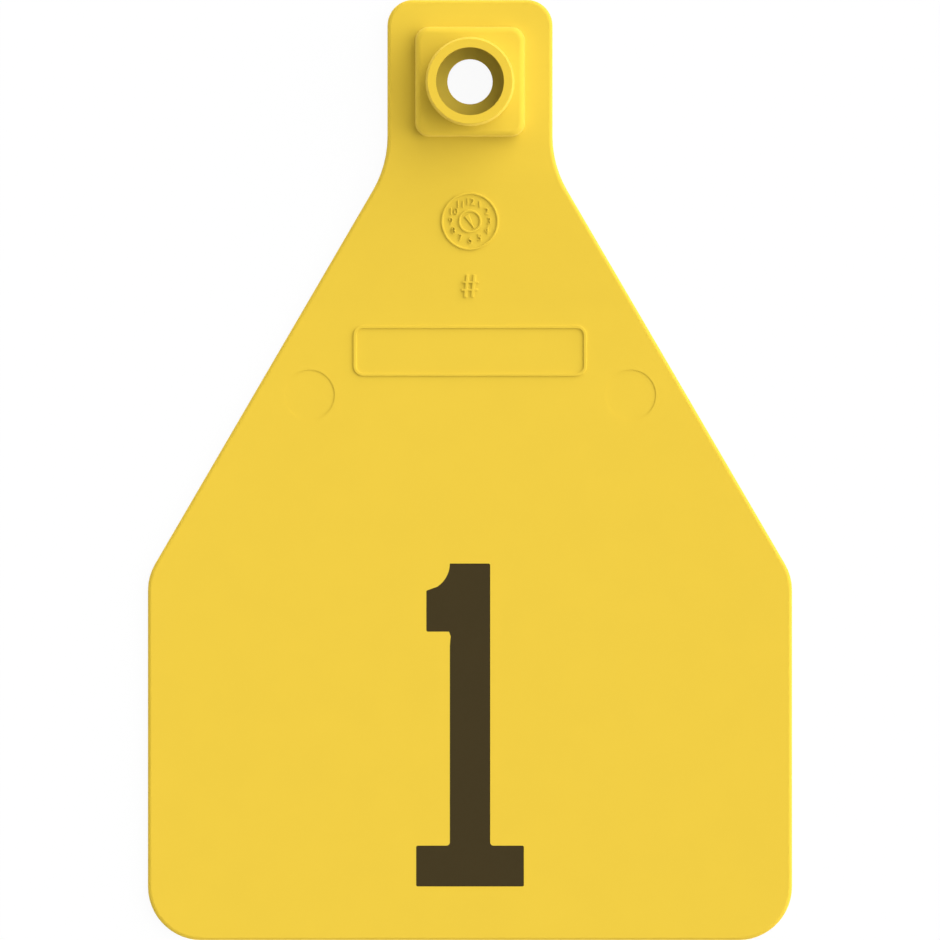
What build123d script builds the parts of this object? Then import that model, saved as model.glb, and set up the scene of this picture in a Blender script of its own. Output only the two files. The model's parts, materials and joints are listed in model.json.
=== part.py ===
from math import radians, tan
import os

from build123d import *

os.makedirs("parts", exist_ok=True)

# Livestock ear tag, millimetres.
# The origin is on the axis of the stud bore at the back face of the tag.
# +Z leaves the front face, +Y points to the top of the neck, +X is to the right of the numeral.

# Outline of the moulding
panel_width = 76.2
overall_length = 111.26
bore_to_neck_top = 9.71
neck_width = 19.525
neck_straight = 19.57
flare_angle = 30.24
neck_top_radius = 3.05
neck_blend_radius = 12.7
shoulder_radius = 6.1
panel_corner_radius = 6.35

# Thickness of the moulding, thick at the neck and thin in the panel
neck_thickness = 1.905
panel_thickness = 1.27
taper_start_below_bore = 10.97
taper_length = 15.64
taper_blend_radius = 20.0
edge_radius = 0.38

# Draft of the outer walls, so that the moulding leaves its mould
draft_angle = 2.75

# Square pad that stiffens the neck round the stud bore
pad_size = 13.0
pad_height = 2.54
pad_corner_radius = 1.65
pad_edge_radius = 0.65

# Round collar with the pocket that takes the tip of the stud
collar_diameter = 10.58
collar_height = 5.08
collar_edge_radius = 0.08
pocket_diameter = 8.05
pocket_depth = 6.35
bore_diameter = 5.35

# Witness marks of the two ejector pins
ejector_diameter = 6.0
ejector_spacing = 38.0
ejector_below_bore = 37.05
ejector_depth = 0.1

# Numeral, filled with ink in a shallow engraved recess
numeral_below_bore = 56.98
numeral_height = 38.2
stem_width = 4.775
foot_width = 12.74
foot_height = 4.83
flag_reach = 2.78
flag_drop = 3.21
flag_height = 4.85
flag_hollow_radius = 3.28
flag_hollow_angle = 56.6
nick_depth = 0.1
nick_height = 0.55
nick_length = 1.7
root_radius = 0.4
corner_radius = 0.2
engraving_depth = 0.15
ink_thickness = 0.1

# Places that follow from the sizes above
neck_top = bore_to_neck_top
panel_bottom = neck_top - overall_length
neck_end = neck_top - neck_straight
shoulder_y = neck_end - (panel_width - neck_width) / 2 / tan(radians(flare_angle))
taper_start = -taper_start_below_bore
taper_end = taper_start - taper_length
pad_top = neck_thickness + pad_height
collar_top = pad_top + collar_height
numeral_top = -numeral_below_bore
numeral_bottom = numeral_top - numeral_height
engraving_floor = panel_thickness - engraving_depth

# Half of the outline from the bottom of the panel to the top of the neck, mirrored for the other half
right_side = [
    (panel_width / 2, panel_bottom),
    (panel_width / 2, shoulder_y),
    (neck_width / 2, neck_end),
    (neck_width / 2, neck_top),
]
left_side = [(-x, y) for x, y in reversed(right_side)]

with BuildSketch() as outline:
    with BuildLine():
        Polyline(*right_side, *left_side, close=True)
    make_face()
    fillet(outline.vertices().group_by(Axis.Y)[3], neck_top_radius)
    fillet(outline.vertices().group_by(Axis.Y)[2], neck_blend_radius)
    fillet(outline.vertices().group_by(Axis.Y)[1], shoulder_radius)
    fillet(outline.vertices().group_by(Axis.Y)[0], panel_corner_radius)

# Side profile: the back is flat and the front falls from the neck to the thinner panel
front_line = [
    (neck_top, neck_thickness),
    (taper_start, neck_thickness),
    (taper_end, panel_thickness),
    (panel_bottom, panel_thickness),
]

with BuildSketch(Plane.YZ) as side_profile:
    with BuildLine():
        FilletPolyline(*front_line, radius=taper_blend_radius)
        Polyline(front_line[-1], (panel_bottom, 0), (neck_top, 0), front_line[0])
    make_face()

# Numeral: a slab foot, a straight stem and a flag with a hollow above it and a small nick below it
stem_left = -stem_width / 2
flag_left = stem_left - flag_reach
flag_top = numeral_top - flag_drop
flag_bottom = flag_top - flag_height
foot_top = numeral_bottom + foot_height

with BuildSketch(Plane.XY.offset(engraving_floor)) as numeral:
    with BuildLine():
        hollow = CenterArc(
            (stem_left - flag_hollow_radius, numeral_top), flag_hollow_radius, 0, -flag_hollow_angle
        )
        Line(hollow @ 1, (flag_left, flag_top))
        Polyline(
            (flag_left, flag_top),
            (flag_left, flag_bottom),
            (stem_left - nick_depth, flag_bottom),
            (stem_left + nick_depth, flag_bottom - nick_height),
            (stem_left, flag_bottom - nick_length),
            (stem_left, foot_top),
            (-foot_width / 2, foot_top),
            (-foot_width / 2, numeral_bottom),
            (foot_width / 2, numeral_bottom),
            (foot_width / 2, foot_top),
            (-stem_left, foot_top),
            (-stem_left, numeral_top),
            hollow @ 0,
        )
    make_face()
    fillet(numeral.vertices().group_by(Axis.Y)[1].sort_by(Axis.X)[1:-1], root_radius)
    columns = numeral.vertices().group_by(Axis.X)
    stem_top_right = numeral.vertices().group_by(Axis.Y)[-1].sort_by(Axis.X)[-1]
    fillet([*columns[0], *columns[1], *columns[-1], stem_top_right], corner_radius)

# Tag: one moulding of flexible polyurethane, whose mould parts at the sharp edge of the flat back
with BuildPart() as tag:
    extrude(side_profile.sketch, amount=panel_width / 2, both=True)
    extrude(outline.sketch, amount=neck_thickness, taper=draft_angle, mode=Mode.INTERSECT)
    walls = tag.faces().filter_by(lambda face: abs(face.normal_at().Z) < 0.5)
    front_edges = walls.edges().filter_by(lambda edge: edge.bounding_box().min.Z > panel_thickness / 2)
    fillet(front_edges, edge_radius)

    with BuildSketch(Plane.XY.offset(neck_thickness)):
        RectangleRounded(pad_size, pad_size, pad_corner_radius)
    extrude(amount=pad_height, taper=draft_angle)
    fillet(tag.faces().sort_by(Axis.Z)[-1].edges(), pad_edge_radius)

    with BuildSketch(Plane.XY.offset(pad_top)):
        Circle(collar_diameter / 2)
    extrude(amount=collar_height, taper=draft_angle)
    fillet(tag.faces().sort_by(Axis.Z)[-1].edges(), collar_edge_radius)
    with Locations((0, 0, collar_top)):
        CounterBoreHole(bore_diameter / 2, pocket_diameter / 2, pocket_depth)

    with BuildSketch(Plane.XY.offset(panel_thickness)):
        with Locations((0, -ejector_below_bore)):
            with GridLocations(ejector_spacing, 0, 2, 1):
                Circle(ejector_diameter / 2)
    extrude(amount=-ejector_depth, mode=Mode.SUBTRACT)

    extrude(numeral.sketch, amount=engraving_depth, mode=Mode.SUBTRACT)

# Ink: lies on the floor of the engraved numeral, a little below the face of the panel
with BuildPart() as number_print:
    extrude(numeral.sketch, amount=ink_thickness)

tag.part.label = "tag"
number_print.part.label = "number_print"

export_step(tag.part, "parts/tag.step")
export_step(number_print.part, "parts/number_print.step")
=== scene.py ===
"""Livestock ear tag: finish of its yellow moulding and ink, its small raised marks, and the stage."""

import json
from math import cos, pi, radians, sin, tan

import bmesh
import bpy
from bpy.props import FloatProperty, FloatVectorProperty, PointerProperty
from mathutils import Matrix, Vector
from mathutils.bvhtree import BVHTree


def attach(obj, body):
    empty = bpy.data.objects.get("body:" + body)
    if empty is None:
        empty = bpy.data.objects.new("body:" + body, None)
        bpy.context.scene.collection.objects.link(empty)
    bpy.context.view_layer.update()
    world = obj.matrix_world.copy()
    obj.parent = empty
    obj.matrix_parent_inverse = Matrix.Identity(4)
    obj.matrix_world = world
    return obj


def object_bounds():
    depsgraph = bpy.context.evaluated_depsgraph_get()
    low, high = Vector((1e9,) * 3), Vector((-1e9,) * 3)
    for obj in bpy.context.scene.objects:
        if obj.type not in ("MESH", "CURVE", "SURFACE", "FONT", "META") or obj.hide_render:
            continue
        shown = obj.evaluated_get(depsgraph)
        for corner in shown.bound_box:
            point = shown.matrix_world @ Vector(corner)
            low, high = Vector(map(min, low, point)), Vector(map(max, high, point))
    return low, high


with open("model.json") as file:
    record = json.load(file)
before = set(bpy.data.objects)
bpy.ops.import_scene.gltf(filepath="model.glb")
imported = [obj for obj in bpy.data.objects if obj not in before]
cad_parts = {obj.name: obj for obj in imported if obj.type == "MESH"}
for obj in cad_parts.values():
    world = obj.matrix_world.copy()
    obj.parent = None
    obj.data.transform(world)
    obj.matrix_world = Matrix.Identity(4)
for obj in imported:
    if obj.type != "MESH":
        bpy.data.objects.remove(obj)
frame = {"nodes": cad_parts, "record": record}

bl_info = {
    "name": "Livestock Ear Tag",
    "version": (1, 0, 0),
    "blender": (4, 5, 0),
    "location": "View3D > Sidebar > Ear Tag",
    "description": "Finishes a moulded ear tag, adds its raised marks and lights it on a white table",
    "category": "Object",
}

MM = 0.001
CAD_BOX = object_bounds()
TAG_TOP = CAD_BOX[1].z
TAG_BODY = "root"
TAG_NODE = "tag"
INK_NODE = "number_print"
POLYURETHANE = "yellow_polyurethane"
INK = "numeral_ink"
WHITE = (1.0, 1.0, 1.0, 1.0)


# Settings


class EarTagFinish(bpy.types.PropertyGroup):
    """Colours and surface of the moulding and of the ink"""

    body_colour: FloatVectorProperty(
        name="Moulding colour",
        description="Colour of the dyed polyurethane",
        subtype="COLOR",
        size=3,
        min=0.0,
        max=1.0,
        default=(0.813, 0.561, 0.044),
    )
    body_roughness: FloatProperty(
        name="Moulding roughness",
        description="How satin the moulded face is",
        subtype="FACTOR",
        min=0.0,
        max=1.0,
        default=0.7,
    )
    body_gloss: FloatProperty(
        name="Moulding gloss",
        description="Strength of the moulded face's reflections, low for rubbery plastic",
        subtype="FACTOR",
        min=0.0,
        max=1.0,
        default=0.2,
    )
    sheen: FloatProperty(
        name="Moulding sheen",
        description="Strength of the soft glow of the matt skin where it is seen nearly edge on",
        subtype="FACTOR",
        min=0.0,
        max=1.0,
        default=0.83,
    )
    sheen_roughness: FloatProperty(
        name="Sheen roughness",
        description="How far the soft glow spreads from the steep walls to the flat faces",
        subtype="FACTOR",
        min=0.0,
        max=1.0,
        default=0.52,
    )
    sheen_colour: FloatVectorProperty(
        name="Sheen colour",
        description="Colour of the soft glow, the same dye as the moulding",
        subtype="COLOR",
        size=3,
        min=0.0,
        max=1.0,
        default=(1.0, 0.72, 0.09),
    )
    # Painted shade: the pocket and the bore take this darker, duller colour in place of the shade in the
    # recess.
    pocket_colour: FloatVectorProperty(
        name="Pocket colour",
        description="Duller colour of the pocket and the bore, which the mould's core pin leaves unpolished",
        subtype="COLOR",
        size=3,
        min=0.0,
        max=1.0,
        default=(0.69, 0.505, 0.055),
    )
    bounce: FloatProperty(
        name="Bounce",
        description="Share of the light that the moulding passes on to itself, in every colour alike",
        subtype="FACTOR",
        min=0.0,
        max=1.0,
        default=0.65,
    )
    ink_colour: FloatVectorProperty(
        name="Ink colour",
        description="Colour of the numeral's ink",
        subtype="COLOR",
        size=3,
        min=0.0,
        max=1.0,
        default=(0.0385, 0.0255, 0.0047),
    )
    ink_roughness: FloatProperty(
        name="Ink roughness",
        description="How matt the dry ink is",
        subtype="FACTOR",
        min=0.0,
        max=1.0,
        default=0.6,
    )
    ink_gloss: FloatProperty(
        name="Ink gloss",
        description="Strength of the ink's reflections",
        subtype="FACTOR",
        min=0.0,
        max=1.0,
        default=0.15,
    )
    grain: FloatProperty(
        name="Grain",
        description="Width of one pit of the mould's fine spark texture",
        subtype="DISTANCE",
        unit="LENGTH",
        default=0.22 * MM,
    )
    blotch: FloatProperty(
        name="Blotch",
        description="Width of the faint uneven patches that the melt leaves as it cools",
        subtype="DISTANCE",
        unit="LENGTH",
        default=5.0 * MM,
    )


class EarTagMarks(bpy.types.PropertyGroup):
    """Sizes and places of the small raised marks on the neck"""

    relief: FloatProperty(
        name="Relief",
        description="Height of the raised marks above the face",
        unit="LENGTH",
        default=0.22 * MM,
    )
    edge: FloatProperty(
        name="Edge",
        description="Width of the soft edge round each raised mark",
        unit="LENGTH",
        default=0.05 * MM,
    )
    sign_height: FloatProperty(
        name="Sign height",
        description="Height of the number sign",
        unit="LENGTH",
        default=2.69 * MM,
    )
    sign_width: FloatProperty(
        name="Sign width",
        description="Length of the number sign's level bars",
        unit="LENGTH",
        default=2.0 * MM,
    )
    sign_below_bore: FloatProperty(
        name="Sign below bore",
        description="Distance from the stud bore down to the middle of the number sign",
        unit="LENGTH",
        default=24.16 * MM,
    )
    dial_diameter: FloatProperty(
        name="Dial diameter",
        description="Outer diameter of the mould's month dial",
        unit="LENGTH",
        default=6.8 * MM,
    )
    dial_below_bore: FloatProperty(
        name="Dial below bore",
        description="Distance from the stud bore down to the middle of the dial",
        unit="LENGTH",
        default=16.5 * MM,
    )
    plate_width: FloatProperty(
        name="Plate width",
        description="Width of the plain bordered field under the neck",
        unit="LENGTH",
        default=27.6 * MM,
    )
    plate_height: FloatProperty(
        name="Plate height",
        description="Height of the plain bordered field under the neck",
        unit="LENGTH",
        default=6.0 * MM,
    )
    plate_below_bore: FloatProperty(
        name="Plate below bore",
        description="Distance from the stud bore down to the middle of the bordered field",
        unit="LENGTH",
        default=31.8 * MM,
    )


class EarTagStage(bpy.types.PropertyGroup):
    """Light, floor and camera"""

    key_share: FloatProperty(
        name="Key light",
        description="Light that the soft key lamp puts on the face, where 1 is all of the light",
        min=0.0,
        max=2.0,
        default=0.663,
    )
    key_elevation: FloatProperty(
        name="Key elevation",
        description="Angle of the key lamp above the table",
        subtype="ANGLE",
        default=radians(37),
    )
    key_azimuth: FloatProperty(
        name="Key azimuth",
        description="Direction of the key lamp, from the tag's right towards the top of its neck",
        subtype="ANGLE",
        default=radians(29),
    )
    key_size: FloatProperty(
        name="Key size",
        description="Apparent width of the key lamp, wide for soft shadows",
        subtype="ANGLE",
        default=radians(89),
    )
    room_low: FloatProperty(
        name="Room at table level",
        description="Brightness of the white room's walls beside the tag",
        min=0.0,
        max=2.0,
        default=1.02,
    )
    room_high: FloatProperty(
        name="Room overhead",
        description="Brightness of the room straight above the tag, where the camera stands",
        min=0.0,
        max=2.0,
        default=0.117,
    )
    picture_height: FloatProperty(
        name="Picture height",
        description="Height of the table that the picture takes in",
        unit="LENGTH",
        default=111.21 * MM,
    )
    picture_middle: FloatProperty(
        name="Picture middle",
        description="Distance from the stud bore down to the middle of the picture",
        unit="LENGTH",
        default=45.92 * MM,
    )
    lens: FloatProperty(
        name="Lens",
        description="Focal length in millimetres, long because the view has no visible perspective",
        default=1650.0,
    )
    table_size: FloatProperty(
        name="Table size",
        description="Width of the white table",
        unit="LENGTH",
        default=3.0,
    )
    table_gap: FloatProperty(
        name="Table gap",
        description="Distance from the table up to the tag's flat back",
        unit="LENGTH",
        default=0.02 * MM,
    )
    table_white: FloatProperty(
        name="Table white",
        description="Share of the light that the table sends back",
        subtype="FACTOR",
        min=0.0,
        max=1.0,
        default=0.97,
    )
    table_plain: FloatProperty(
        name="Table plain",
        description="Share of plain white in what the camera sees of the table; the rest shows its shadow",
        subtype="FACTOR",
        min=0.0,
        max=1.0,
        default=0.94,
    )


# Materials


def new_group(name, inputs, outputs):
    """Makes an empty shader node group and returns its tree, its input node and its output node."""
    tree = bpy.data.node_groups.new(name, "ShaderNodeTree")
    for label, kind, value in inputs:
        socket = tree.interface.new_socket(label, in_out="INPUT", socket_type=kind)
        if value is not None:
            socket.default_value = value
    for label, kind in outputs:
        tree.interface.new_socket(label, in_out="OUTPUT", socket_type=kind)
    return tree, tree.nodes.new("NodeGroupInput"), tree.nodes.new("NodeGroupOutput")


def feed(tree, socket, value):
    """Links value to a socket, or sets it there if it is a plain number or colour."""
    if isinstance(value, bpy.types.NodeSocket):
        tree.links.new(value, socket)
    else:
        socket.default_value = value


def opaque(colour):
    """A colour with the full alpha that colour sockets want."""
    return (*colour, 1.0)


def add_math(tree, operation, first, second):
    """Adds a Math node on two sockets or numbers."""
    node = tree.nodes.new("ShaderNodeMath")
    node.operation = operation
    feed(tree, node.inputs[0], first)
    feed(tree, node.inputs[1], second)
    return node.outputs[0]


def add_mix(tree, factor, first, second):
    """Adds a colour mix that goes from first to second as factor goes from 0 to 1."""
    mix = tree.nodes.new("ShaderNodeMix")
    mix.data_type = "RGBA"
    feed(tree, mix.inputs["Factor"], factor)
    feed(tree, mix.inputs["A"], first)
    feed(tree, mix.inputs["B"], second)
    return mix.outputs["Result"]


def add_range(tree, value, start, end, low, high, curve="LINEAR"):
    """Adds a Map Range that goes from low to high as value goes from start to end."""
    node = tree.nodes.new("ShaderNodeMapRange")
    node.interpolation_type = curve
    feed(tree, node.inputs["Value"], value)
    feed(tree, node.inputs["From Min"], start)
    feed(tree, node.inputs["From Max"], end)
    feed(tree, node.inputs["To Min"], low)
    feed(tree, node.inputs["To Max"], high)
    return node.outputs["Result"]


def add_noise(tree, place, width, detail):
    """Adds a noise whose patches are about as wide as width."""
    noise = tree.nodes.new("ShaderNodeTexNoise")
    feed(tree, noise.inputs["Vector"], place)
    feed(tree, noise.inputs["Scale"], add_math(tree, "DIVIDE", 1.0, width))
    feed(tree, noise.inputs["Detail"], detail)
    return noise.outputs["Fac"]


def moulded_surface():
    """Node group: the faint patches and the fine grain that a spark-finished mould leaves."""
    tree, given, result = new_group(
        "Moulded surface",
        [
            ("Place", "NodeSocketVector", None),
            ("Colour", "NodeSocketColor", (0.8, 0.8, 0.8, 1.0)),
            ("Patch colour", "NodeSocketColor", (0.8, 0.8, 0.8, 1.0)),
            ("Patch width", "NodeSocketFloat", 0.005),
            ("Grain width", "NodeSocketFloat", 0.0002),
            ("Roughness low", "NodeSocketFloat", 0.4),
            ("Roughness high", "NodeSocketFloat", 0.6),
        ],
        [
            ("Colour", "NodeSocketColor"),
            ("Roughness", "NodeSocketFloat"),
            ("Height", "NodeSocketFloat"),
        ],
    )
    # Most values of a noise lie between these two.
    usual_low, usual_high = 0.3, 0.7
    place = given.outputs["Place"]
    patches = add_noise(tree, place, given.outputs["Patch width"], 3.0)
    grain = add_noise(tree, place, given.outputs["Grain width"], 2.0)
    patchy = add_range(tree, patches, usual_low, usual_high, 0.0, 1.0)
    colour = add_mix(tree, patchy, given.outputs["Colour"], given.outputs["Patch colour"])
    smooth, rough = given.outputs["Roughness low"], given.outputs["Roughness high"]
    roughness = add_range(tree, grain, usual_low, usual_high, smooth, rough)
    tree.links.new(colour, result.inputs["Colour"])
    tree.links.new(roughness, result.inputs["Roughness"])
    tree.links.new(grain, result.inputs["Height"])
    return tree


def moulded_material(slot, group, finish, colour, patch_share, roughness, grain_depth):
    """Makes a slot's finish, whose colour, roughness and fine bump come from the moulded surface group."""
    roughness_spread = 0.04
    material = bpy.data.materials.new(f"{slot}_finish")
    material.use_nodes = True
    tree = material.node_tree
    shader = tree.nodes["Principled BSDF"]
    surface = tree.nodes.new("ShaderNodeGroup")
    surface.node_tree = group
    surface.inputs["Colour"].default_value = opaque(colour)
    surface.inputs["Patch colour"].default_value = opaque(patch_share * channel for channel in colour)
    surface.inputs["Patch width"].default_value = finish.blotch
    surface.inputs["Grain width"].default_value = finish.grain
    surface.inputs["Roughness low"].default_value = roughness - roughness_spread
    surface.inputs["Roughness high"].default_value = roughness + roughness_spread
    place = tree.nodes.new("ShaderNodeTexCoord")
    bump = tree.nodes.new("ShaderNodeBump")
    bump.inputs["Strength"].default_value = 1.0
    bump.inputs["Distance"].default_value = grain_depth
    tree.links.new(place.outputs["Object"], surface.inputs["Place"])
    tree.links.new(surface.outputs["Colour"], shader.inputs["Base Color"])
    tree.links.new(surface.outputs["Roughness"], shader.inputs["Roughness"])
    tree.links.new(surface.outputs["Height"], bump.inputs["Height"])
    tree.links.new(bump.outputs["Normal"], shader.inputs["Normal"])
    return material, shader, place.outputs["Object"], surface.outputs["Colour"]


def yellow_moulding(group, finish):
    """Dyed polyurethane, with a painted shade that makes the pocket and the bore darker and duller."""
    patch_share = 0.985
    grain_depth = 0.004 * MM
    material, shader, place, colour = moulded_material(
        POLYURETHANE, group, finish, finish.body_colour, patch_share, finish.body_roughness, grain_depth
    )
    shader.inputs["Specular IOR Level"].default_value = finish.body_gloss
    shader.inputs["Sheen Weight"].default_value = finish.sheen
    shader.inputs["Sheen Roughness"].default_value = finish.sheen_roughness
    shader.inputs["Sheen Tint"].default_value = opaque(finish.sheen_colour)
    tree = material.node_tree
    # Painted shade: the pocket and the bore take a darker, duller colour in place of their shade.
    colour = add_mix(tree, pocket_mask(tree, place), colour, opaque(finish.pocket_colour))
    tree.links.new(even_bounce(tree, colour, finish.bounce), shader.inputs["Base Color"])
    return material


def even_bounce(tree, colour, bounce):
    """Greys what bounced light sees of a colour, so that the moulding's shade keeps its hue."""
    path = tree.nodes.new("ShaderNodeLightPath")
    return add_mix(tree, path.outputs["Is Diffuse Ray"], colour, opaque([bounce] * 3))


def pocket_mask(tree, place):
    """Mask of the painted shade: 1 inside the collar's pocket and the bore, falling to 0 at the collar's
    mouth.
    """
    pocket = next(mount for mount in frame["record"]["mounts"] if mount["name"] == "collar_pocket")
    radius = pocket["dims"]["r_mm"] * MM
    inside, outside = radius + 0.2 * MM, radius + 0.5 * MM
    low, high = TAG_TOP - 0.8 * MM, TAG_TOP - 0.3 * MM
    split = tree.nodes.new("ShaderNodeSeparateXYZ")
    level = tree.nodes.new("ShaderNodeCombineXYZ")
    reach = tree.nodes.new("ShaderNodeVectorMath")
    reach.operation = "LENGTH"
    tree.links.new(place, split.inputs[0])
    tree.links.new(split.outputs["X"], level.inputs["X"])
    tree.links.new(split.outputs["Y"], level.inputs["Y"])
    tree.links.new(level.outputs[0], reach.inputs[0])
    within = add_range(tree, reach.outputs["Value"], inside, outside, 1.0, 0.0, "SMOOTHSTEP")
    below = add_range(tree, split.outputs["Z"], low, high, 1.0, 0.0, "SMOOTHSTEP")
    return add_math(tree, "MULTIPLY", within, below)


def numeral_ink(group, finish):
    """Matt brown-black ink, a little uneven where it was laid on."""
    patch_share = 1.04
    grain_depth = 0.006 * MM
    material, shader, _, _ = moulded_material(
        INK, group, finish, finish.ink_colour, patch_share, finish.ink_roughness, grain_depth
    )
    shader.inputs["Specular IOR Level"].default_value = finish.ink_gloss
    return material


class EARTAG_OT_finish(bpy.types.Operator):
    """Gives the moulding and the ink of the numeral their finish"""

    bl_idname = "ear_tag.finish"
    bl_label = "Moulding and Ink"

    def execute(self, context):
        finish = context.scene.ear_tag_finish
        group = moulded_surface()
        for node, material in (
            (TAG_NODE, yellow_moulding(group, finish)),
            (INK_NODE, numeral_ink(group, finish)),
        ):
            for place in frame["nodes"][node].material_slots:
                place.material = material
        return {"FINISHED"}


# Raised marks


def face_height(x, y, surface):
    """Height of the tag's front face at x, y."""
    hit = surface.ray_cast(Vector((x, y, 2 * TAG_TOP)), Vector((0, 0, -1)))[0]
    if hit is None:
        raise RuntimeError(f"a raised mark lies off the tag at {x:.4f}, {y:.4f}")
    return hit.z


def raise_mark(bm, marks):
    """Raises the flat faces of a mesh into a closed, soft-edged relief, rooted a little under the face."""
    root = 0.05 * MM
    sharp = radians(45)
    bm.normal_update()
    bmesh.ops.reverse_faces(bm, faces=[face for face in bm.faces if face.normal.z < 0])
    bmesh.ops.translate(bm, verts=bm.verts[:], vec=(0, 0, -root))
    grown = bmesh.ops.extrude_face_region(bm, geom=bm.faces[:], use_keep_orig=True)["geom"]
    tops = {part for part in grown if isinstance(part, bmesh.types.BMVert)}
    bmesh.ops.translate(bm, verts=list(tops), vec=(0, 0, root + marks.relief))
    bm.normal_update()
    top_edges = [edge for edge in bm.edges if set(edge.verts) <= tops]
    rim = [edge for edge in top_edges if edge.calc_face_angle(0.0) > sharp]
    bmesh.ops.bevel(
        bm, geom=rim, offset=marks.edge, segments=2, profile=0.5, affect="EDGES", material=-1
    )


def finish_mark(name, bm, below_bore):
    """Seats a mark on the tag's face, that far below the stud bore, and makes it a piece of the tag."""
    merge_distance = 0.001 * MM
    surface = BVHTree.FromObject(frame["nodes"][TAG_NODE], bpy.context.evaluated_depsgraph_get())
    for vert in bm.verts:
        vert.co.y -= below_bore
        vert.co.z += face_height(vert.co.x, vert.co.y, surface)
    bmesh.ops.remove_doubles(bm, verts=bm.verts[:], dist=merge_distance)
    mesh = bpy.data.meshes.new(name)
    bm.to_mesh(mesh)
    bm.free()
    mesh.materials.append(bpy.data.materials[f"{POLYURETHANE}_finish"])
    piece = bpy.data.objects.new(name, mesh)
    bpy.context.scene.collection.objects.link(piece)
    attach(piece, TAG_BODY)


def band(bm, outline, width):
    """Turns the face inside a loop of vertices into a flat band of that width along its edge."""
    face = bm.faces.new(outline)
    face.normal_update()
    bmesh.ops.inset_region(
        bm, faces=[face], thickness=width, use_boundary=True, use_even_offset=True
    )
    bmesh.ops.delete(bm, geom=[face], context="FACES")


class EARTAG_OT_number_sign(bpy.types.Operator):
    """Raises the small number sign in the middle of the tag, between neck and panel"""

    bl_idname = "ear_tag.number_sign"
    bl_label = "Number Sign"

    def execute(self, context):
        marks = context.scene.ear_tag_marks
        slant = tan(radians(6))
        stroke = 0.36 * MM
        bar = 0.24 * MM
        stroke_spacing = 0.82 * MM
        bar_spacing = 0.9 * MM
        columns = cross_lines(marks.sign_width, stroke_spacing, stroke)
        rows = cross_lines(marks.sign_height, bar_spacing, bar)
        strips = len(rows) - 1
        half = strips / 2

        bm = bmesh.new()
        bmesh.ops.create_grid(bm, x_segments=strips, y_segments=strips, size=half)
        for vert in bm.verts:
            row = rows[round(vert.co.y + half)]
            vert.co.x = columns[round(vert.co.x + half)] + row * slant
            vert.co.y = row
        open_cells = []
        for face in bm.faces:
            middle = face.calc_center_median()
            on_bar = on_line(middle.y, rows)
            on_stroke = on_line(middle.x - middle.y * slant, columns)
            if not on_bar and not on_stroke:
                open_cells.append(face)
        bmesh.ops.delete(bm, geom=open_cells, context="FACES")
        raise_mark(bm, marks)
        finish_mark("number_sign", bm, marks.sign_below_bore)
        return {"FINISHED"}


def cross_lines(length, spacing, width):
    """Six positions along a side of the number sign: its ends and both edges of each of its two lines."""
    near, far = spacing / 2 - width / 2, spacing / 2 + width / 2
    return [-length / 2, -far, -near, near, far, length / 2]


def on_line(position, lines):
    """Says whether a position lies on either of the two lines that cross_lines gave."""
    return lines[1] < position < lines[2] or lines[3] < position < lines[4]


class EARTAG_OT_month_dial(bpy.types.Operator):
    """Raises the mould's month dial on the neck: two rings, the numbers 1 to 12 and a needle"""

    bl_idname = "ear_tag.month_dial"
    bl_label = "Month Dial"

    def execute(self, context):
        marks = context.scene.ear_tag_marks
        outer = marks.dial_diameter / 2
        inner = 0.4 * outer
        line = 0.22 * MM
        needle_gap = 0.8 * line
        number_height = 1.15 * MM
        number_circle = (outer + inner - line) / 2
        shown_month = 5

        bm = bmesh.new()
        for radius, segments in ((outer, 64), (inner, 40)):
            ring = bmesh.ops.create_circle(bm, segments=segments, radius=radius)["verts"]
            band(bm, ring, line)
        needle(bm, inner - line - needle_gap, month_angle(shown_month))
        for month in range(1, 13):
            number = number_mesh(str(month), number_height)
            angle = month_angle(month)
            place = Vector((cos(angle), sin(angle), 0)) * number_circle
            number.transform(Matrix.Translation(place))
            bm.from_mesh(number)
            bpy.data.meshes.remove(number)
        raise_mark(bm, marks)
        finish_mark("month_dial", bm, marks.dial_below_bore)
        return {"FINISHED"}


def month_angle(month):
    """Direction of a month on the dial, where 12 is at the top as on a clock."""
    return radians(90 - 30 * month)


def needle(bm, reach, angle):
    """Adds the dial's flat tapered needle, with its tip towards angle."""
    tail, half_width = 0.8 * reach, 0.32 * reach
    turn = Matrix.Rotation(angle, 3, "Z")
    corners = [(-tail, -half_width, 0), (reach, 0, 0), (-tail, half_width, 0)]
    bm.faces.new([bm.verts.new(turn @ Vector(corner)) for corner in corners])


def number_mesh(text, size):
    """A flat mesh of a plain number, centred on the origin."""
    curve = bpy.data.curves.new("number", "FONT")
    curve.body = text
    curve.size = size
    curve.align_x = "CENTER"
    curve.align_y = "CENTER"
    curve.resolution_u = 3
    holder = bpy.data.objects.new("number", curve)
    bpy.context.scene.collection.objects.link(holder)
    shown = holder.evaluated_get(bpy.context.evaluated_depsgraph_get())
    mesh = bpy.data.meshes.new_from_object(shown)
    bpy.data.objects.remove(holder)
    bpy.data.curves.remove(curve)
    return mesh


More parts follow.
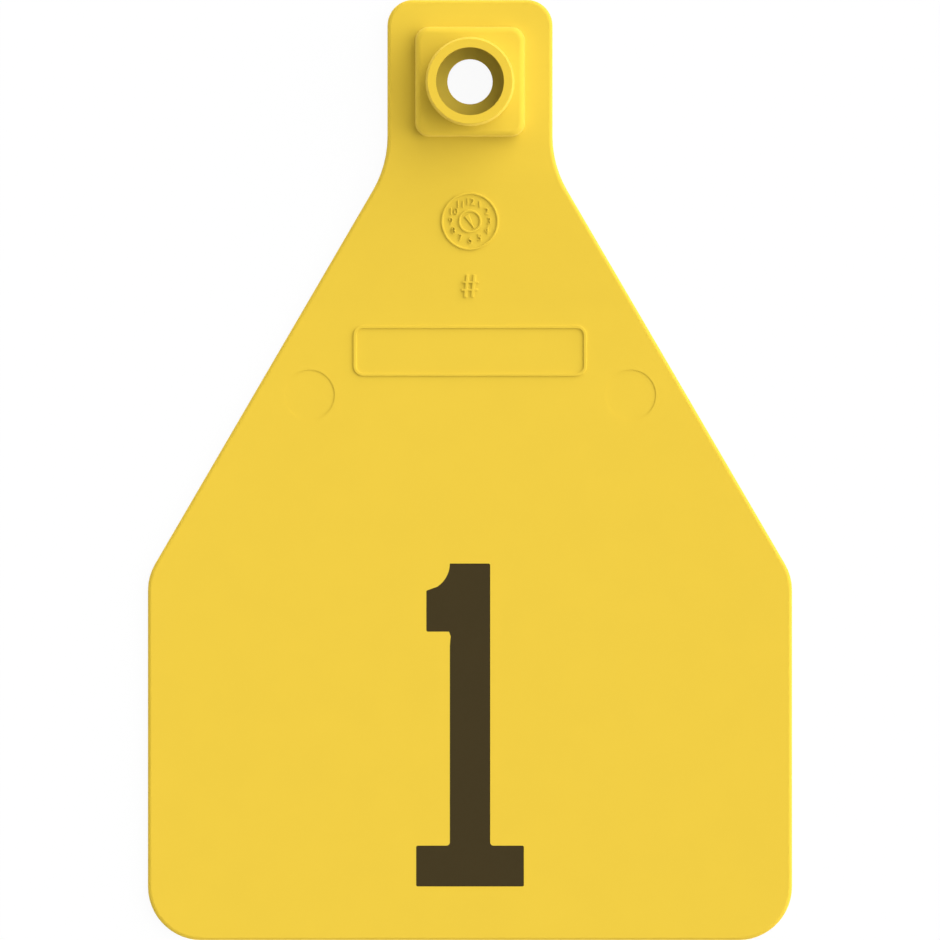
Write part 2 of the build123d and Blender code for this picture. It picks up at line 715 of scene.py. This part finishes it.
class EARTAG_OT_plain_plate(bpy.types.Operator):
    """Raises the plain bordered field under the neck"""

    bl_idname = "ear_tag.plain_plate"
    bl_label = "Plain Plate"

    def execute(self, context):
        marks = context.scene.ear_tag_marks
        corner = 1.2 * MM
        line = 0.35 * MM
        segments = 40
        reach = Vector((marks.plate_width / 2 - corner, marks.plate_height / 2 - corner))

        bm = bmesh.new()
        turn = Matrix.Rotation(pi / segments, 4, "Z")
        outline = bmesh.ops.create_circle(bm, segments=segments, radius=corner, matrix=turn)["verts"]
        for vert in outline:
            vert.co.x += reach.x if vert.co.x > 0 else -reach.x
            vert.co.y += reach.y if vert.co.y > 0 else -reach.y
        band(bm, outline, line)
        raise_mark(bm, marks)
        finish_mark("plain_plate", bm, marks.plate_below_bore)
        return {"FINISHED"}


# Stage


def white_for_camera(tree, lit, white_share):
    """Mixes a plain white over a lit shader, by white_share, for the camera and reflections alone."""
    path = tree.nodes.new("ShaderNodeLightPath")
    seen = path.outputs["Is Camera Ray"]
    for ray in ("Is Glossy Ray", "Is Transmission Ray"):
        seen = add_math(tree, "MAXIMUM", seen, path.outputs[ray])
    white = tree.nodes.new("ShaderNodeEmission")
    white.inputs["Color"].default_value = WHITE
    white.inputs["Strength"].default_value = 1.0
    mix = tree.nodes.new("ShaderNodeMixShader")
    tree.links.new(add_math(tree, "MULTIPLY", seen, white_share), mix.inputs[0])
    tree.links.new(lit, mix.inputs[1])
    tree.links.new(white.outputs[0], mix.inputs[2])
    return mix.outputs[0]


class EARTAG_OT_stage(bpy.types.Operator):
    """Lays the tag on a white table under soft light, with the camera straight above"""

    bl_idname = "ear_tag.stage"
    bl_label = "Stage"

    def execute(self, context):
        stage = context.scene.ear_tag_stage
        self.lay_table(stage)
        self.hang_key(stage)
        self.paint_room(stage)
        self.place_camera(stage)
        context.scene.view_settings.view_transform = "Standard"
        return {"FINISHED"}

    def lay_table(self, stage):
        """The table is diffuse white, and most of what the camera sees of it is plain white."""
        bm = bmesh.new()
        bmesh.ops.create_grid(bm, x_segments=1, y_segments=1, size=stage.table_size / 2)
        bmesh.ops.translate(bm, verts=bm.verts[:], vec=(0, 0, -stage.table_gap))
        mesh = bpy.data.meshes.new("white_table")
        bm.to_mesh(mesh)
        bm.free()
        material = bpy.data.materials.new("white_table")
        material.use_nodes = True
        tree = material.node_tree
        shader = tree.nodes["Principled BSDF"]
        shader.inputs["Base Color"].default_value = opaque([stage.table_white] * 3)
        shader.inputs["Roughness"].default_value = 1.0
        shader.inputs["Specular IOR Level"].default_value = 0.0
        seen = white_for_camera(tree, shader.outputs["BSDF"], stage.table_plain)
        tree.links.new(seen, tree.nodes["Material Output"].inputs["Surface"])
        mesh.materials.append(material)
        table = bpy.data.objects.new("white_table", mesh)
        bpy.context.scene.collection.objects.link(table)

    def hang_key(self, stage):
        """One broad soft lamp from the right and a little from above."""
        lamp = bpy.data.lights.new("key_light", "SUN")
        lamp.angle = stage.key_size
        lamp.energy = pi * stage.key_share / sin(stage.key_elevation)
        key = bpy.data.objects.new("key_light", lamp)
        level = cos(stage.key_elevation)
        towards = Vector(
            (cos(stage.key_azimuth) * level, sin(stage.key_azimuth) * level, sin(stage.key_elevation))
        )
        key.rotation_euler = towards.to_track_quat("Z", "Y").to_euler()
        bpy.context.scene.collection.objects.link(key)

    def paint_room(self, stage):
        """A white room with bright walls and a dim ceiling, which the camera sees as plain white."""
        world = bpy.data.worlds.new("white_room")
        world.use_nodes = True
        tree = world.node_tree
        room = tree.nodes["Background"]
        room.inputs["Color"].default_value = WHITE
        towards = tree.nodes.new("ShaderNodeTexCoord")
        split = tree.nodes.new("ShaderNodeSeparateXYZ")
        tree.links.new(towards.outputs["Generated"], split.inputs[0])
        brightness = add_range(tree, split.outputs["Z"], 0.0, 1.0, stage.room_low, stage.room_high)
        tree.links.new(brightness, room.inputs["Strength"])
        seen = white_for_camera(tree, room.outputs["Background"], 1.0)
        tree.links.new(seen, tree.nodes["World Output"].inputs["Surface"])
        bpy.context.scene.world = world

    def place_camera(self, stage):
        """The camera looks straight down from far away, with the neck's top at the top of the picture."""
        data = bpy.data.cameras.new("camera")
        data.lens = stage.lens
        distance = stage.picture_height * data.lens / data.sensor_width
        data.clip_start = 0.1 * distance
        data.clip_end = 2.0 * distance
        camera = bpy.data.objects.new("camera", data)
        camera.location = (0, -stage.picture_middle, distance)
        bpy.context.scene.collection.objects.link(camera)
        bpy.context.scene.camera = camera


class EARTAG_PT_panel(bpy.types.Panel):
    """Lists the settings and the steps of the ear tag"""

    bl_label = "Ear Tag"
    bl_idname = "EARTAG_PT_panel"
    bl_space_type = "VIEW_3D"
    bl_region_type = "UI"
    bl_category = "Ear Tag"

    def draw(self, context):
        layout = self.layout
        for settings in (
            context.scene.ear_tag_finish,
            context.scene.ear_tag_marks,
            context.scene.ear_tag_stage,
        ):
            box = layout.box()
            for name in settings.bl_rna.properties.keys():
                if name not in ("rna_type", "name"):
                    box.prop(settings, name)
        for step in OPERATORS:
            layout.operator(step.bl_idname)


SETTINGS = {
    "ear_tag_finish": EarTagFinish,
    "ear_tag_marks": EarTagMarks,
    "ear_tag_stage": EarTagStage,
}
OPERATORS = (
    EARTAG_OT_finish,
    EARTAG_OT_month_dial,
    EARTAG_OT_number_sign,
    EARTAG_OT_plain_plate,
    EARTAG_OT_stage,
)


def register():
    for cls in (*SETTINGS.values(), *OPERATORS, EARTAG_PT_panel):
        bpy.utils.register_class(cls)
    for name, cls in SETTINGS.items():
        setattr(bpy.types.Scene, name, PointerProperty(type=cls))


def unregister():
    for name in SETTINGS:
        delattr(bpy.types.Scene, name)
    for cls in reversed((*SETTINGS.values(), *OPERATORS, EARTAG_PT_panel)):
        bpy.utils.unregister_class(cls)


def main():
    register()
    bpy.ops.ear_tag.finish()
    bpy.ops.ear_tag.month_dial()
    bpy.ops.ear_tag.number_sign()
    bpy.ops.ear_tag.plain_plate()
    bpy.ops.ear_tag.stage()


if __name__ == "__main__":
    main()
